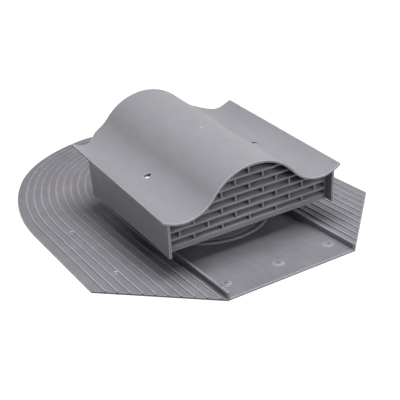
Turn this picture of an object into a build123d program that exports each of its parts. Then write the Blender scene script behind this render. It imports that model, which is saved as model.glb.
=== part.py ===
from build123d import *
from math import asin, cos, degrees, radians, sin, sqrt, tan
import os

# Roof vent: a ridged flange, a round duct opening, and a wave-shaped hood with a louvred front.
# Millimetres. The origin is the middle of the duct opening, on the flange's underside.
# +Y runs up the roof slope, away from the louvre, and +Z leaves the roof.

# Flange outline: straight front, cut corners, straight sides, and a round rear of three arcs a side
flange_thick = 2.5
flange_half_width = 210.3
front_reach = 203.0
front_half_width = 92.6
side_bend_start = 105.0
side_bend_radius = 368.0
side_bend_turn = 29.9
rear_bend_radius = 223.5
apex_radius = 38.0

# Fine ribs on the flange, all running parallel to its outline
rib_pitch = 11.05
rib_first_inset = 12.8
rib_last_gap = 4.0
rib_width = 1.8
rib_height = 1.4
mark_radius = 1.8
mark_height = 2.2
mark_inset = 42.3
mark_places_y = (74.0, -65.0)

# Front panel: two upright ribs that go round behind the duct, nail bosses, softened front edge
upstand_half_width = 92.6
upstand_thick = 3.0
upstand_height = 8.4
nail_spacing = 76.0
nail_line_inset = 32.0
nail_boss_radius = 7.0
nail_boss_height = 1.4
nail_boss_taper = 35.0
nail_hole_radius = 1.6
front_edge_bevel = 0.9

# Duct collar on its low round seat
duct_radius = 75.0
collar_wall = 3.0
collar_height = 55.0
seat_radius = 86.5
seat_height = 2.2
seat_bevel = 1.2

# Hood: a wave of tangent arcs, swept along a line that rises to the rear. The rear edge is cut
# square to that line, so its places are lengths along it.
hood_slope = 4.7
hood_sheet = 2.5
hood_half_width = 129.4
hood_front = -131.1
hood_rear = 130.0
hood_corner_radius = 4.0
tongue_rear = 158.0
tongue_tip = 80.0
tongue_root = 104.0
tongue_round = 18.0
wave_eave_height = 81.6
wave_crest_rise = 37.7
wave_valley_drop = 8.8
wave_crest_radius = 74.0
wave_valley_radius = 55.0

# Hood walls: their front edges lean square to the hood's slope, and the foot line bends gently
wall_thick = 3.0
wall_half_width = 121.6
wall_front_setback = 2.1
wall_rear = 99.0
wall_corner_radius = 9.0
foot_front_height = 31.3
foot_bend_height = 41.6
foot_bend_y = 38.0
foot_rear_height = 36.5
foot_bend_radius = 90.0

# Louvre: sloping slats over a bottom beam, with thin dividers laid like bricks
louvre_setback = 17.0
louvre_height = 45.4
slat_count = 7
slat_pitch = 11.0
slat_lift = 1.2
slat_lip = 2.4
slat_depth = 6.5
slat_slope = 32.0
slat_thick = 1.9
slat_drip = 1.2
beam_foot = 13.0
beam_top = 6.0
beam_wall = 2.0
divider_step = 20.0
divider_thick = 1.8
end_plate_thick = 2.0
rail_size = 2.5
louvre_side_gap = 0.25
louvre_wave_gap = 0.4

# Two screws hold the hood's bosses down on the flange's posts
screw_x = 82.5
screw_y = -6.0
screw_head_radius = 4.0
screw_head_height = 2.4
screw_shank_radius = 1.75
screw_length = 20.0
screw_tip = 3.0
recess_radius = 4.8
recess_depth = 3.2
screw_hole_gap = 0.4
pilot_gap = 0.1
pilot_spare = 2.0
boss_radius = 7.0
boss_height = 8.5
post_radius = 6.0
gusset_thick = 2.5
gusset_reach = 24.0
gusset_shoulder = 10.0
gusset_drop = 4.0

# Overlap inside one moulding, so that its features grow together, and spare length for cuts
blend = 0.5
cut_margin = 12.0

os.makedirs("parts", exist_ok=True)

# Worked-out places
collar_radius = duct_radius + collar_wall
collar_top = flange_thick + collar_height
hood_rise = tan(radians(hood_slope))
hood_axis = Vector(0, cos(radians(hood_slope)), sin(radians(hood_slope)))
hood_normal = Vector(0, -sin(radians(hood_slope)), cos(radians(hood_slope)))
hood_length = tongue_rear - hood_front + 2 * cut_margin
wall_front = hood_front + wall_front_setback
wall_inside = wall_half_width - wall_thick
louvre_half_width = wall_inside - louvre_side_gap

# The crest's arc touches both valley arcs, which sets how far out the valleys lie
arc_sum = wave_crest_radius + wave_valley_radius
valley_x = sqrt(arc_sum**2 - (arc_sum - wave_crest_rise - wave_valley_drop) ** 2)
crest_turn = degrees(asin(valley_x / arc_sum))
crest_center = wave_crest_rise - wave_crest_radius
valley_center = wave_valley_radius - wave_valley_drop

# The flange's sides bend about centres on the far side, and its rear about centres near the middle
side_bend_x = side_bend_radius - flange_half_width
rear_bend_x = side_bend_x - (side_bend_radius - rear_bend_radius) * cos(radians(side_bend_turn))


def round_rear(inset, side_end):
    """Left half of the flange's round rear, drawn inset from its outline."""
    rear_radius = rear_bend_radius - inset
    tip_turn = degrees(asin(rear_bend_x / (rear_radius - apex_radius)))
    rear_turn = 90 - side_bend_turn - tip_turn
    shoulder = JernArc(side_end, (0, 1), side_bend_radius - inset, -side_bend_turn)
    rear = JernArc(shoulder @ 1, shoulder % 1, rear_radius, -rear_turn)
    JernArc(rear @ 1, rear % 1, apex_radius, -tip_turn)


def rib_loop(inset):
    """A closed loop beside the flange's sides and rear, with a straight front."""
    x = inset - flange_half_width
    front = Line((0, -front_reach), (x, -front_reach))
    side = Line(front @ 1, (x, side_bend_start))
    round_rear(inset, side @ 1)
    mirror(about=Plane.YZ)


def eave_height(y):
    """Height of the sheet's underside at the eaves."""
    return wave_eave_height + (y - hood_front) * hood_rise


def hood_section(y):
    """Plane across the hood, square to its slope, with its origin on the eave line at y."""
    return Plane(origin=(0, y, eave_height(y)), x_dir=(1, 0, 0), z_dir=-hood_axis)


def wave_line(rise):
    """The wave from eave to eave, moved square to itself from the sheet's underside."""
    radius = wave_valley_radius - rise
    eave_turn = degrees(asin((hood_half_width - valley_x) / radius))
    turn = crest_turn + eave_turn
    CenterArc((0, crest_center), wave_crest_radius + rise, 90 - crest_turn, 2 * crest_turn)
    left = CenterArc((-valley_x, valley_center), radius, 270 - eave_turn, turn)
    right = CenterArc((valley_x, valley_center), radius, 270 - crest_turn, turn)
    return left @ 0, right @ 1


def wave_height(x, y, rise):
    """Height of the wave over a point of the plan, moved square to itself by rise."""
    if abs(x) < valley_x * wave_crest_radius / arc_sum:
        height = crest_center + sqrt((wave_crest_radius + rise) ** 2 - x**2)
    else:
        height = valley_center - sqrt((wave_valley_radius - rise) ** 2 - (abs(x) - valley_x) ** 2)
    return eave_height(y) + height / cos(radians(hood_slope))


def cut_above_wave(rise):
    """Cut the piece being made to the wave, moved by rise."""
    with BuildSketch(hood_section(hood_front - cut_margin)) as above:
        with BuildLine():
            left_end, right_end = wave_line(rise)
            Polyline(right_end, (hood_half_width, wave_top), (-hood_half_width, wave_top), left_end)
        make_face()
    extrude(above.sketch, amount=-hood_length, mode=Mode.SUBTRACT)


wave_top = wave_height(0, tongue_rear, hood_sheet) + blend
recess_floor = wave_height(screw_x, screw_y, hood_sheet) - recess_depth
post_top = recess_floor - boss_height
screw_places = [(-screw_x, screw_y), (screw_x, screw_y)]
nail_y = nail_line_inset - front_reach
nail_places = [(-nail_spacing, nail_y), (0, nail_y), (nail_spacing, nail_y)]
mark_places = [(mark_inset - flange_half_width, y) for y in mark_places_y]
rib_room = flange_half_width - upstand_half_width - rib_first_inset - rib_last_gap
rib_count = int(rib_room / rib_pitch) + 1


# Plan of the flange
with BuildSketch() as flange_plan:
    with BuildLine():
        corner_y = flange_half_width - front_half_width - front_reach
        front = Line((0, -front_reach), (-front_half_width, -front_reach))
        corner = Line(front @ 1, (-flange_half_width, corner_y))
        side = Line(corner @ 1, (-flange_half_width, side_bend_start))
        round_rear(0, side @ 1)
        mirror(about=Plane.YZ)
    make_face()

# Plan of the fine ribs: each is the strip between two loops, and the cut corners end them
with BuildSketch() as rib_plan:
    for number in range(rib_count):
        inset = rib_first_inset + number * rib_pitch
        with BuildLine():
            rib_loop(inset - rib_width / 2)
        make_face()
        with BuildLine():
            rib_loop(inset + rib_width / 2)
        make_face(mode=Mode.SUBTRACT)
    add(flange_plan.sketch, mode=Mode.INTERSECT)

# Plan of the upright ribs: along the front panel's sides and round behind the duct
with BuildSketch() as upstand_plan:
    with BuildLine():
        left = Line((-upstand_half_width, -front_reach), (-upstand_half_width, 0))
        behind = ThreePointArc(left @ 1, (0, upstand_half_width), (upstand_half_width, 0))
        right = Line(behind @ 1, (upstand_half_width, -front_reach))
        Line(right @ 1, left @ 0)
    make_face()
    with BuildLine():
        inner = upstand_half_width - upstand_thick
        left = Line((-inner, -front_reach), (-inner, 0))
        behind = ThreePointArc(left @ 1, (0, inner), (inner, 0))
        right = Line(behind @ 1, (inner, -front_reach))
        Line(right @ 1, left @ 0)
    make_face(mode=Mode.SUBTRACT)

# Flange with its ribs, panel, collar and screw posts, one moulding
with BuildPart() as base_flange:
    extrude(flange_plan.sketch, amount=flange_thick)
    front_edges = base_flange.edges().filter_by(Axis.X).group_by(Axis.Y)[0]
    chamfer(front_edges.sort_by(Axis.Z)[-1], front_edge_bevel)
    extrude(rib_plan.sketch, amount=flange_thick + rib_height)
    extrude(upstand_plan.sketch, amount=flange_thick + upstand_height)
    with BuildSketch(Plane.XY.offset(flange_thick)):
        with Locations(nail_places):
            Circle(nail_boss_radius)
    extrude(amount=nail_boss_height, taper=nail_boss_taper)
    with BuildSketch():
        with Locations(mark_places):
            Circle(mark_radius)
    extrude(amount=flange_thick + mark_height)
    with BuildSketch():
        Circle(seat_radius)
    extrude(amount=flange_thick + seat_height)
    seat_edges = base_flange.edges().filter_by(GeomType.CIRCLE)
    seat_rim = seat_edges.filter_by(lambda e: abs(e.radius - seat_radius) < blend).sort_by(Axis.Z)[-1]
    chamfer(seat_rim, seat_bevel)
    with BuildSketch():
        Circle(collar_radius)
    extrude(amount=collar_top)
    with BuildSketch(Plane.XY.offset(flange_thick)):
        with Locations(screw_places):
            Circle(post_radius)
    extrude(amount=post_top - flange_thick)
    for x, y in screw_places:
        with BuildSketch(Plane.YZ.offset(x)):
            with BuildLine():
                shoulder_z = post_top - gusset_drop
                Polyline(
                    (y - gusset_reach, flange_thick),
                    (y - gusset_shoulder, shoulder_z),
                    (y + gusset_shoulder, shoulder_z),
                    (y + gusset_reach, flange_thick),
                    close=True,
                )
            make_face()
        extrude(amount=gusset_thick / 2, both=True)
    Hole(duct_radius)
    with Locations(nail_places):
        Hole(nail_hole_radius)
    with Locations([(x, y, post_top) for x, y in screw_places]):
        Hole(screw_shank_radius + pilot_gap, depth=screw_length - boss_height + pilot_spare)

# Wave sheet: upright front edge, and a rounded tongue behind the hump, cut square to the sheet
with BuildPart() as wave_sheet:
    with BuildSketch(hood_section(hood_front - cut_margin)):
        with BuildLine():
            low_left, low_right = wave_line(0)
            top_left, top_right = wave_line(hood_sheet)
            Line(low_left, top_left)
            Line(low_right, top_right)
        make_face()
    extrude(amount=-hood_length)
    with BuildSketch(Plane(origin=(0, 0, eave_height(0)), x_dir=(1, 0, 0), z_dir=hood_normal)):
        with BuildLine():
            rear = FilletPolyline(
                (-hood_half_width, hood_front - cut_margin),
                (-hood_half_width, hood_rear),
                (-tongue_root, hood_rear),
                (-tongue_tip, tongue_rear),
                (tongue_tip, tongue_rear),
                (tongue_root, hood_rear),
                (hood_half_width, hood_rear),
                (hood_half_width, hood_front - cut_margin),
                radius=[hood_corner_radius] + [tongue_round] * 4 + [hood_corner_radius],
            )
            Line(rear @ 1, rear @ 0)
        make_face()
    extrude(amount=wave_top, both=True, mode=Mode.INTERSECT)
    split(bisect_by=Plane.XZ.offset(-hood_front), keep=Keep.BOTTOM)

# Hood: walls and screw bosses grow up into the wave sheet, one moulding
with BuildPart() as hood_cover:
    with BuildSketch():
        with BuildLine():
            outer = FilletPolyline(
                (-wall_half_width, hood_front - cut_margin),
                (-wall_half_width, wall_rear),
                (wall_half_width, wall_rear),
                (wall_half_width, hood_front - cut_margin),
                radius=wall_corner_radius,
            )
            Line(outer @ 1, outer @ 0)
        make_face()
        with BuildLine():
            inner = FilletPolyline(
                (-wall_inside, hood_front - cut_margin),
                (-wall_inside, wall_rear - wall_thick),
                (wall_inside, wall_rear - wall_thick),
                (wall_inside, hood_front - cut_margin),
                radius=wall_corner_radius - wall_thick,
            )
            Line(inner @ 1, inner @ 0)
        make_face(mode=Mode.SUBTRACT)
    extrude(amount=wave_top)
    with BuildSketch(Plane.YZ.offset(-wall_half_width)):
        with BuildLine():
            foot_y = wall_front + (wave_eave_height - foot_front_height) * hood_rise
            top_y = wall_front - (wave_top - wave_eave_height) * hood_rise
            foot = FilletPolyline(
                (foot_y, foot_front_height),
                (foot_bend_y, foot_bend_height),
                (wall_rear, foot_rear_height),
                radius=foot_bend_radius,
            )
            Polyline(foot @ 1, (wall_rear, wave_top), (top_y, wave_top), foot @ 0)
        make_face()
    extrude(amount=2 * wall_half_width, mode=Mode.INTERSECT)
    rail_y = hood_front + louvre_setback
    rail_plane = Plane(origin=(0, rail_y, louvre_height), x_dir=hood_axis, z_dir=(1, 0, 0))
    with BuildSketch(Plane.XY.offset(post_top)):
        with Locations(screw_places):
            Circle(boss_radius)
    extrude(amount=wave_top - post_top)
    for side in (-1, 1):
        with BuildSketch(rail_plane.offset(side * (wall_inside - rail_size / 2))):
            with Locations((slat_depth + louvre_side_gap, 0)):
                Rectangle(rail_size, wave_top, align=(Align.MIN, Align.CENTER))
            with Locations((0, -beam_top)):
                Rectangle(wave_top, wave_top, align=(Align.CENTER, Align.MIN), mode=Mode.INTERSECT)
        extrude(amount=rail_size / 2 + blend, both=True)
    cut_above_wave(blend)
    add(wave_sheet.part)
    with Locations([(x, y, recess_floor) for x, y in screw_places]):
        Hole(screw_shank_radius + screw_hole_gap, depth=boss_height + blend)
    with BuildSketch(Plane.XY.offset(recess_floor)):
        with Locations(screw_places):
            Circle(recess_radius)
    extrude(amount=wave_top - recess_floor, mode=Mode.SUBTRACT)

# Louvre, drawn in side view on a plane that leans with the hood
louvre_plane = Plane(
    origin=(0, hood_front + louvre_setback, louvre_height),
    x_dir=hood_axis,
    z_dir=(1, 0, 0),
)
slat_rise = slat_depth * tan(radians(slat_slope))
slat_height = slat_thick / cos(radians(slat_slope))
drip_rise = slat_drip * tan(radians(slat_slope))
beam_rise = beam_wall * tan(radians(slat_slope))


def slat_profile(base):
    """Side view of a slat: an upright lip with a drip edge, and a blade that climbs to the rear."""
    lip_top = base + slat_lift + slat_lip
    Polygon(
        (0, base + slat_lift),
        (0, lip_top),
        (slat_depth, lip_top + slat_rise),
        (slat_depth, lip_top + slat_rise - slat_height),
        (slat_drip, lip_top + drip_rise - slat_height),
        (slat_drip, base + slat_lift),
        align=None,
    )


def beam_profile():
    """Side view of the bottom beam: a channel with a sloping top."""
    Polygon(
        (0, -beam_foot),
        (0, -beam_top),
        (slat_depth, slat_rise - beam_top),
        (slat_depth, slat_rise - beam_top - slat_height),
        (beam_wall, beam_rise - beam_top - slat_height),
        (beam_wall, beam_wall - beam_foot),
        (slat_depth, beam_wall - beam_foot),
        (slat_depth, -beam_foot),
        align=None,
    )


def divider_profile(low, high):
    """Side view of a divider: as deep as the slats, with ends that slope like them."""
    Polygon(
        (0, low),
        (slat_depth, low + slat_rise),
        (slat_depth, high + slat_rise),
        (0, high),
        align=None,
    )


def divider_xs(row, top):
    """Places across one row: every other step, where the row fits under the wave."""
    steps = int(louvre_half_width / divider_step)
    for step in range(-steps, steps + 1):
        x = step * divider_step
        room = wave_height(x, hood_front + louvre_setback, -louvre_wave_gap) - louvre_height
        if (step + row) % 2 == 0 and top < room:
            yield x


with BuildPart() as louvre_grille:
    with BuildSketch(louvre_plane):
        beam_profile()
        for number in range(slat_count):
            slat_profile(number * slat_pitch)
    extrude(amount=louvre_half_width, both=True)
    for row in range(slat_count):
        low = (row - 1) * slat_pitch + slat_lift + slat_lip - blend
        if row == 0:
            low = -beam_top - blend
        high = row * slat_pitch + slat_lift
        for x in divider_xs(row, high):
            with BuildSketch(louvre_plane.offset(x)):
                divider_profile(low, high)
            extrude(amount=divider_thick / 2, both=True)
    for side in (-1, 1):
        middle = side * (louvre_half_width - end_plate_thick / 2)
        with BuildSketch(louvre_plane.offset(middle)):
            with Locations((0, -beam_foot)):
                Rectangle(slat_depth, slat_count * slat_pitch, align=Align.MIN)
        extrude(amount=end_plate_thick / 2, both=True)
    cut_above_wave(-louvre_wave_gap)

# Pan-head screws, turned about their own upright axes
with BuildPart() as cover_screws:
    for x, y in screw_places:
        with BuildSketch(Plane(origin=(x, y, recess_floor), x_dir=(1, 0, 0), z_dir=(0, -1, 0))):
            with BuildLine():
                edge_height = screw_head_height / 2
                Polyline(
                    (0, screw_head_height),
                    (0, -screw_length),
                    (screw_shank_radius, screw_tip - screw_length),
                    (screw_shank_radius, 0),
                    (screw_head_radius, 0),
                    (screw_head_radius, edge_height),
                )
                TangentArc((0, screw_head_height), (screw_head_radius, edge_height), tangent=(1, 0))
            make_face()
        revolve(axis=Axis((x, y, 0), (0, 0, 1)))

base_flange.part.label = "base_flange"
hood_cover.part.label = "hood_cover"
louvre_grille.part.label = "louvre_grille"
cover_screws.part.label = "cover_screws"

export_step(base_flange.part, "parts/base_flange.step")
export_step(hood_cover.part, "parts/hood_cover.step")
export_step(louvre_grille.part, "parts/louvre_grille.step")
export_step(cover_screws.part, "parts/cover_screws.step")
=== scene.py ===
import math

import bpy
from mathutils import Matrix, Vector


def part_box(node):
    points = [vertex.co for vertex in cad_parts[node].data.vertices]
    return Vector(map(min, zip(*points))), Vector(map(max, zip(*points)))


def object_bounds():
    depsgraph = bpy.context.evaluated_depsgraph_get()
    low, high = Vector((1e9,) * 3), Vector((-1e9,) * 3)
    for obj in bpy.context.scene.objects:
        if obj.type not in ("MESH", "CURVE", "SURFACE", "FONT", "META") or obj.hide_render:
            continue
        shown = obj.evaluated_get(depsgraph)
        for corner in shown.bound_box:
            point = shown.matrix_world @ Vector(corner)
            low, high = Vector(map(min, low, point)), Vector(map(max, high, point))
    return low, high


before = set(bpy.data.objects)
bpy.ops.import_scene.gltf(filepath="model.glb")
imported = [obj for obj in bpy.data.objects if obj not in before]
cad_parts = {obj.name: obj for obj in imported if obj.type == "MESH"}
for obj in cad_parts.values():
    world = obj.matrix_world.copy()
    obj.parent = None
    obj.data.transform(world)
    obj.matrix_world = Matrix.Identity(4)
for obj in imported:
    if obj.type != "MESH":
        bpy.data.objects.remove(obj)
cad_low, cad_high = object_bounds()
scene = bpy.context.scene
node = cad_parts

# Camera, fitted to the photograph's straight edges: place and reach in metres, angles in degrees,
# lens and sensor in mm
CAMERA_PLACE = (-0.51537, -0.94249, 0.52382)
CAMERA_HEADING = 28.362
CAMERA_DIP = 24.843
CAMERA_ROLL = -5.476
CAMERA_LENS = 78.62
SENSOR_WIDTH = 36.0
CAMERA_REACH = 50

# Surface colours, as linear values. A cast is the second colour of a plastic's faint blotches.
HOOD_GREY = (0.372, 0.373, 0.405)
HOOD_CAST = (0.378, 0.372, 0.41)
FLANGE_GREY = (0.312, 0.311, 0.346)
FLANGE_CAST = (0.325, 0.306, 0.343)
LOUVRE_GREY = (0.345, 0.342, 0.37)
LOUVRE_CAST = (0.355, 0.342, 0.37)
STEEL_GREY = (0.74, 0.74, 0.76)
FLOOR_WHITE = (0.3, 0.3, 0.3)
WHITE = (1, 1, 1, 1)

# Small things on the surfaces, in metres. A mark is its place and its radius.
EDGE_ROUND = 0.0015
SCREW_HEAD_RADIUS = 0.004
DRIVE_REACH = 0.0018
DRIVE_HALF_WIDTH = 0.0004
DRIVE_DEPTH = 0.0006
GATE_MARK = ((0.0024, -0.0065, 0.132), 0.0016)
FLANGE_MARKS = [((-0.168, 0.074, 0.004), 0.0035), ((-0.168, -0.065, 0.004), 0.0035)]

# Shares of a mark's radius, and of the drive recess's width and length, that show it in full
MARK_CORE = 0.8
DRIVE_SIDE_CORE = 0.8
DRIVE_END_CORE = 0.9

# The moulded plastic's noises: cells in a metre, depths in metres, glows as times its brightness.
# The streaks' cells are narrow across and long up the slope.
PIGMENT_CELLS = 38
STREAK_CELLS = 22
STREAK_SCALE = (9.0, 1.0, 1.0)
BLOTCH_CELLS = 11
SCUFF_CELLS = 420
SCUFF_GLOW = 1.1
SHINE_CELLS = 60
SHINE_SWING = 0.06
WAVE_CELLS = 26
WAVE_DEPTH = 0.0006
MARK_GLOW = 1.8
PLASTIC_SPECULAR = 0.25

# The screws' plating: cells in a metre, a depth in metres, the ranges of brightness and roughness,
# and the painted shade in each drive recess as a share of the brightness
PLATING_CELLS = 600
PLATING_BRIGHTNESS = (0.86, 1.1)
PLATING_SHINE_CELLS = 900
PLATING_ROUGHNESS = (0.28, 0.42)
TURNING_CELLS = 2600
TURNING_DEPTH = 0.00003
DRIVE_SHADE = 0.15

# The part of a noise's range, or of two normals' likeness, over which its effect goes from end to
# end, and the openness below which a crevice's painted shade is at its darkest. The likeness sets
# where edges get a painted highlight.
NOISE_RANGE = (0.3, 0.7)
STREAK_RANGE = (0.35, 0.65)
BLOTCH_RANGE = (0.4, 0.65)
SCUFF_RANGE = (0.66, 0.74)
EDGE_HIGHLIGHT_RANGE = (0.9, 0.999)
CREVICE_SHUT = 0.25

# Rays that each Bevel and Ambient Occlusion node sends
NODE_SAMPLES = 6

# Floor and world: sizes in metres, how white they look and how much the world lights
FLOOR_SIZE = 12.0
FLOOR_GAP = 0.0004
FLOOR_GLOW = 0.95
FLOOR_CELLS = 3.0
FLOOR_MOTTLE = 0.01
FLOOR_ROUGHNESS = 0.9
WORLD_FILL = 0.02

# Lamps: name, place and aim in metres, size across and along in metres, power in watts
LAMPS = [
    ("key", (0.01, -0.26, 1.35), (-0.05, -0.15, 0.05), (0.55, 1.0), 14.7),
    ("front", (0.7, -1.7, 0.9), (0, 0, 0.05), (0.7, 0.7), 7.5),
    ("left", (-0.9, -0.9, 0.25), (-0.1, -0.1, 0.05), (0.3, 0.3), 1.0),
]


def node_tree(material):
    """An empty node tree with a Principled shader on the output."""
    material.use_nodes = True
    tree = material.node_tree
    tree.nodes.clear()
    output = tree.nodes.new("ShaderNodeOutputMaterial")
    shader = tree.nodes.new("ShaderNodeBsdfPrincipled")
    tree.links.new(shader.outputs["BSDF"], output.inputs["Surface"])
    return tree, shader


def place_texture(tree, scale=(1, 1, 1)):
    """Object coordinates, in metres, scaled along each axis."""
    coords = tree.nodes.new("ShaderNodeTexCoord")
    mapping = tree.nodes.new("ShaderNodeMapping")
    mapping.inputs["Scale"].default_value = scale
    tree.links.new(coords.outputs["Object"], mapping.inputs["Vector"])
    return mapping.outputs["Vector"]


def noise(tree, vector, per_metre, detail=2.0, roughness=0.5):
    """A noise texture with so many cells in a metre."""
    texture = tree.nodes.new("ShaderNodeTexNoise")
    texture.inputs["Scale"].default_value = per_metre
    texture.inputs["Detail"].default_value = detail
    texture.inputs["Roughness"].default_value = roughness
    tree.links.new(vector, texture.inputs["Vector"])
    return texture.outputs["Fac"]


def span(tree, value, low, high, to_low, to_high):
    """Maps a value's range onto another, clamped."""
    map_range = tree.nodes.new("ShaderNodeMapRange")
    map_range.inputs["From Min"].default_value = low
    map_range.inputs["From Max"].default_value = high
    map_range.inputs["To Min"].default_value = to_low
    map_range.inputs["To Max"].default_value = to_high
    tree.links.new(value, map_range.inputs["Value"])
    return map_range.outputs["Result"]


def combine(tree, operation, first, second):
    """Two values of the tree joined by a Math operation."""
    math_node = tree.nodes.new("ShaderNodeMath")
    math_node.operation = operation
    tree.links.new(first, math_node.inputs[0])
    tree.links.new(second, math_node.inputs[1])
    return math_node.outputs["Value"]


def product(tree, *values):
    """All the values multiplied."""
    result, *others = values
    for other in others:
        result = combine(tree, "MULTIPLY", result, other)
    return result


def tinted(tree, colour, brightness):
    """A colour, plain or from the tree, times a brightness that varies over the surface."""
    scale = tree.nodes.new("ShaderNodeVectorMath")
    scale.operation = "SCALE"
    if isinstance(colour, tuple):
        scale.inputs[0].default_value = colour
    else:
        tree.links.new(colour, scale.inputs[0])
    tree.links.new(brightness, scale.inputs["Scale"])
    return scale.outputs["Vector"]


def blend_colours(tree, first, second, share):
    """Goes from one colour to the other with the share."""
    mix = tree.nodes.new("ShaderNodeMix")
    mix.data_type = "RGBA"
    mix.inputs["A"].default_value = (*first, 1)
    mix.inputs["B"].default_value = (*second, 1)
    tree.links.new(share, mix.inputs["Factor"])
    return mix.outputs["Result"]


def bump(tree, shader, layers, normal=None):
    """Stacks bump layers, each a height from 0 to 1 and its depth in metres, on a normal."""
    for height, depth in layers:
        layer = tree.nodes.new("ShaderNodeBump")
        layer.inputs["Distance"].default_value = depth
        tree.links.new(height, layer.inputs["Height"])
        if normal is not None:
            tree.links.new(normal, layer.inputs["Normal"])
        normal = layer.outputs["Normal"]
    tree.links.new(normal, shader.inputs["Normal"])


def pale_mark(tree, vector, place, radius):
    """A brightness that is raised within a radius of a place, and 1 outside it."""
    gap = tree.nodes.new("ShaderNodeVectorMath")
    gap.operation = "DISTANCE"
    gap.inputs[1].default_value = place
    tree.links.new(vector, gap.inputs[0])
    return span(tree, gap.outputs["Value"], radius * MARK_CORE, radius, MARK_GLOW, 1)


def rounded_edges(tree, radius):
    """A normal that rounds the sharp edges off, and a value that is 1 on flat faces, less at edges."""
    rounded = tree.nodes.new("ShaderNodeBevel")
    rounded.samples = NODE_SAMPLES
    rounded.inputs["Radius"].default_value = radius
    flat = tree.nodes.new("ShaderNodeNewGeometry")
    likeness = tree.nodes.new("ShaderNodeVectorMath")
    likeness.operation = "DOT_PRODUCT"
    tree.links.new(rounded.outputs["Normal"], likeness.inputs[0])
    tree.links.new(flat.outputs["Normal"], likeness.inputs[1])
    return rounded.outputs["Normal"], likeness.outputs["Value"]


def painted_crevice_shade(tree, reach, darkest, open_from):
    """Painted shade: 1 in the open, down to the darkest value in corners, gaps and under parts."""
    openness = tree.nodes.new("ShaderNodeAmbientOcclusion")
    openness.samples = NODE_SAMPLES
    openness.inputs["Distance"].default_value = reach
    return span(tree, openness.outputs["AO"], CREVICE_SHUT, open_from, darkest, 1)


def moulded_plastic(name, colour, cast, roughness, grain, mottle, crevice_shade, edge_highlight_gain, marks=()):
    """Grey moulded plastic with mottled pigment, flow streaks, scuffs, fine grain and faint waves.

    grain is cells in a metre and a depth, mottle a share of the brightness, and crevice_shade what
    painted_crevice_shade() takes for the painted shade in corners, gaps and under parts.
    edge_highlight_gain is how many times brighter the painted highlight on edges is.
    marks are pale spots.
    """
    material = bpy.data.materials.new(name)
    tree, shader = node_tree(material)
    even = place_texture(tree)
    along = place_texture(tree, STREAK_SCALE)
    edge_normal, likeness = rounded_edges(tree, EDGE_ROUND)

    fleck = noise(tree, even, PIGMENT_CELLS, detail=3.0)
    pigment = span(tree, fleck, *NOISE_RANGE, 1 - mottle, 1 + mottle)
    flow = noise(tree, along, STREAK_CELLS)
    streaks = span(tree, flow, *STREAK_RANGE, 1 - mottle / 2, 1 + mottle / 2)
    scratch = noise(tree, even, SCUFF_CELLS, detail=4.0, roughness=0.65)
    scuffs = span(tree, scratch, *SCUFF_RANGE, 1, SCUFF_GLOW)
    # Painted highlight: edges made brighter where the rounded normal turns away from the flat one.
    painted_edge_highlight = span(tree, likeness, *EDGE_HIGHLIGHT_RANGE, edge_highlight_gain, 1)
    spots = [pale_mark(tree, even, *mark) for mark in marks]
    # The brightness takes in painted shade in corners, gaps and under parts, and painted highlights on
    # edges.
    brightness = product(tree, pigment, streaks, scuffs, painted_edge_highlight, painted_crevice_shade(tree, *crevice_shade), *spots)
    blotches = span(tree, noise(tree, even, BLOTCH_CELLS), *BLOTCH_RANGE, 0, 1)
    tint = blend_colours(tree, colour, cast, blotches)
    tree.links.new(tinted(tree, tint, brightness), shader.inputs["Base Color"])

    swing = (roughness - SHINE_SWING, roughness + SHINE_SWING)
    shine = span(tree, noise(tree, even, SHINE_CELLS), *NOISE_RANGE, *swing)
    tree.links.new(shine, shader.inputs["Roughness"])
    shader.inputs["Specular IOR Level"].default_value = PLASTIC_SPECULAR

    waves = noise(tree, even, WAVE_CELLS, detail=1.0)
    grain_cells, grain_depth = grain
    grit = noise(tree, even, grain_cells)
    bump(tree, shader, [(waves, WAVE_DEPTH), (grit, grain_depth)], edge_normal)
    return material


def drive_cross(tree, vector, place):
    """1 in a screw's cross-shaped drive recess, seen from above, and 0 round it."""
    away = tree.nodes.new("ShaderNodeVectorMath")
    away.operation = "SUBTRACT"
    away.inputs[1].default_value = place
    tree.links.new(vector, away.inputs[0])
    size = tree.nodes.new("ShaderNodeVectorMath")
    size.operation = "ABSOLUTE"
    tree.links.new(away.outputs["Vector"], size.inputs[0])
    parts = tree.nodes.new("ShaderNodeSeparateXYZ")
    tree.links.new(size.outputs["Vector"], parts.inputs["Vector"])
    narrow = combine(tree, "MINIMUM", parts.outputs["X"], parts.outputs["Y"])
    wide = combine(tree, "MAXIMUM", parts.outputs["X"], parts.outputs["Y"])
    across = span(tree, narrow, DRIVE_HALF_WIDTH * DRIVE_SIDE_CORE, DRIVE_HALF_WIDTH, 1, 0)
    along = span(tree, wide, DRIVE_REACH * DRIVE_END_CORE, DRIVE_REACH, 1, 0)
    return product(tree, across, along)


def plated_steel(name, colour, screws):
    """Zinc-plated steel with fine turned marks, and a drive recess in each screw's head."""
    material = bpy.data.materials.new(name)
    tree, shader = node_tree(material)
    even = place_texture(tree)
    plating = span(tree, noise(tree, even, PLATING_CELLS), *NOISE_RANGE, *PLATING_BRIGHTNESS)
    # Each drive recess is bumped in and painted darker: painted shade in the recess.
    drive_shade_and_depth = [span(tree, drive_cross(tree, even, place), 0, 1, 1, DRIVE_SHADE) for place in screws]
    brightness = product(tree, plating, *drive_shade_and_depth)
    tree.links.new(tinted(tree, colour, brightness), shader.inputs["Base Color"])
    shader.inputs["Metallic"].default_value = 1.0
    shine = span(tree, noise(tree, even, PLATING_SHINE_CELLS), *NOISE_RANGE, *PLATING_ROUGHNESS)
    tree.links.new(shine, shader.inputs["Roughness"])
    turning = noise(tree, even, TURNING_CELLS)
    bump(tree, shader, [(turning, TURNING_DEPTH)] + [(head, DRIVE_DEPTH) for head in drive_shade_and_depth])
    return material


def dress(name, material):
    """Gives a CAD node its material."""
    for slot in node[name].material_slots:
        slot.material = material


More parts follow.
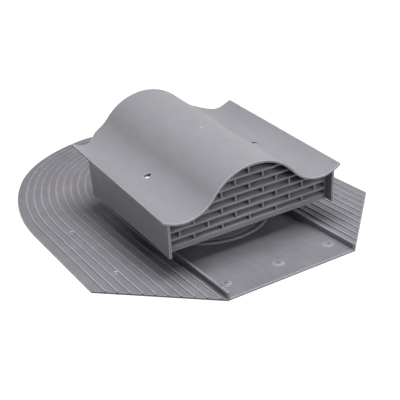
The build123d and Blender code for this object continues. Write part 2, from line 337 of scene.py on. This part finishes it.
def camera():
    """The photograph's camera."""
    data = bpy.data.cameras.new("camera")
    data.sensor_width = SENSOR_WIDTH
    data.lens = CAMERA_LENS
    data.clip_end = CAMERA_REACH
    obj = bpy.data.objects.new("camera", data)
    turn = Matrix.Rotation(math.radians(-CAMERA_HEADING), 4, "Z")
    dip = Matrix.Rotation(math.radians(90 - CAMERA_DIP), 4, "X")
    roll = Matrix.Rotation(math.radians(CAMERA_ROLL), 4, "Z")
    obj.matrix_world = Matrix.Translation(CAMERA_PLACE) @ turn @ dip @ roll
    scene.collection.objects.link(obj)
    scene.camera = obj


def lamp(name, place, aim, size, power):
    """A soft oblong lamp that points at a place, its size given across and along."""
    data = bpy.data.lights.new(name, "AREA")
    data.shape = "RECTANGLE"
    data.size, data.size_y = size
    data.energy = power
    obj = bpy.data.objects.new(name, data)
    obj.location = place
    obj.rotation_euler = (Vector(aim) - Vector(place)).to_track_quat("-Z", "Y").to_euler()
    scene.collection.objects.link(obj)


def seen_directly(tree):
    """1 for rays from the camera, from gloss and through glass, else 0."""
    path = tree.nodes.new("ShaderNodeLightPath")
    seen = combine(tree, "MAXIMUM", path.outputs["Is Camera Ray"], path.outputs["Is Glossy Ray"])
    return combine(tree, "MAXIMUM", seen, path.outputs["Is Transmission Ray"])


def white_world(fill):
    """A world that is white where it is seen, and lights the object with less."""
    world = bpy.data.worlds.new("world")
    scene.world = world
    world.use_nodes = True
    tree = world.node_tree
    background = tree.nodes["Background"]
    background.inputs["Color"].default_value = WHITE
    tree.links.new(span(tree, seen_directly(tree), 0, 1, fill, 1), background.inputs["Strength"])


def floor(size, glow):
    """A pale floor that keeps the shadow and reads as white around it."""
    mesh = bpy.data.meshes.new("floor")
    half = size / 2
    z = cad_low.z - FLOOR_GAP
    corners = [(-half, -half, z), (half, -half, z), (half, half, z), (-half, half, z)]
    mesh.from_pydata(corners, [], [(0, 1, 2, 3)])
    obj = bpy.data.objects.new("floor", mesh)
    scene.collection.objects.link(obj)
    material = bpy.data.materials.new("floor")
    tree, shader = node_tree(material)
    clouds = noise(tree, place_texture(tree), FLOOR_CELLS)
    brightness = span(tree, clouds, *NOISE_RANGE, 1 - FLOOR_MOTTLE, 1 + FLOOR_MOTTLE)
    tree.links.new(tinted(tree, FLOOR_WHITE, brightness), shader.inputs["Base Color"])
    shader.inputs["Roughness"].default_value = FLOOR_ROUGHNESS
    shader.inputs["Emission Color"].default_value = WHITE
    tree.links.new(span(tree, seen_directly(tree), 0, 1, 0, glow), shader.inputs["Emission Strength"])
    mesh.materials.append(material)


camera()

# Each plastic below gets painted shade in its corners and gaps, and painted highlights on its edges.
dress("hood_cover", moulded_plastic(
    "hood_plastic_look",
    colour=HOOD_GREY,
    cast=HOOD_CAST,
    roughness=0.46,
    grain=(2600, 0.00004),
    mottle=0.03,
    crevice_shade=(0.06, 0.15, 0.72),
    edge_highlight_gain=2.8,
    marks=[GATE_MARK],
))
dress("base_flange", moulded_plastic(
    "flange_plastic_look",
    colour=FLANGE_GREY,
    cast=FLANGE_CAST,
    roughness=0.5,
    grain=(1800, 0.00007),
    mottle=0.06,
    crevice_shade=(0.07, 0.25, 0.65),
    edge_highlight_gain=3.0,
    marks=FLANGE_MARKS,
))
dress("louvre_grille", moulded_plastic(
    "louvre_plastic_look",
    colour=LOUVRE_GREY,
    cast=LOUVRE_CAST,
    roughness=0.48,
    grain=(2600, 0.00004),
    mottle=0.04,
    crevice_shade=(0.011, 0.03, 0.78),
    edge_highlight_gain=2.2,
))

screws_low, screws_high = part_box("cover_screws")
screw_x = screws_high[0] - SCREW_HEAD_RADIUS
screw_y = (screws_low[1] + screws_high[1]) / 2
screw_places = [(side * screw_x, screw_y, 0) for side in (-1, 1)]
dress("cover_screws", plated_steel("screw_steel_look", STEEL_GREY, screw_places))

floor(FLOOR_SIZE, FLOOR_GLOW)
white_world(WORLD_FILL)
for settings in LAMPS:
    lamp(*settings)
scene.view_settings.view_transform = "Standard"
